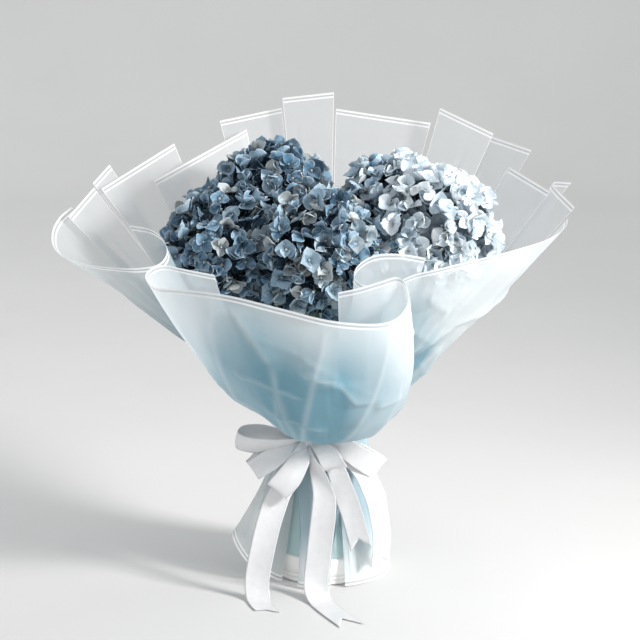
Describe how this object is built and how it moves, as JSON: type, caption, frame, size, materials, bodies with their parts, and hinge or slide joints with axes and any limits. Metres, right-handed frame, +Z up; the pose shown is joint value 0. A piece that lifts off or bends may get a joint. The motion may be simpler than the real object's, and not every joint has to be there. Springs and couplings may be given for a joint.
{
  "type": "wrapped hydrangea bouquet in a vase",
  "caption": "Blue hydrangea heads in sheets of frosted florist's film, tied with a satin bow, standing in a glazed vase.",
  "frame": {"origin": "middle of the vase's underside, on the surface it stands on", "axes": "+Z up, +X to the right of the bow, -Y towards the viewer who faces the bow"},
  "size_m": [0.5166, 0.3588, 0.4662],
  "materials": {
    "film": "frosted translucent film, white at the edges and blue towards the waist",
    "inner_film": "frosted deep blue film",
    "glaze": "warm white glaze",
    "water": "clear water",
    "stem": "fresh green stem",
    "sepals": "dusty blue sepals with pale edges",
    "pale_sepals": "pale blue sepals",
    "satin": "white satin ribbon"
  },
  "bodies": {
    "root": {"film_front": "film", "film_left": "film", "film_right": "film", "film_back_1": "film", "film_back_2": "film", "film_back_3": "film", "film_back_4": "film", "film_back_5": "film", "film_back_6": "film", "film_back_7": "film", "film_back_8": "film", "film_back_9": "film", "film_back_10": "film", "film_back_11": "film", "inner_wrap": "inner_film", "vase": "glaze", "water": "water", "stem_1": "stem", "stem_2": "stem", "stem_3": "stem", "stem_4": "stem", "stem_5": "stem", "bloom_back_left": "sepals", "bloom_right": "pale_sepals", "bloom_front_left": "sepals", "bloom_front": "sepals", "bloom_back_right": "pale_sepals", "ribbon_bow": "satin"}
  },
  "joints": []
}
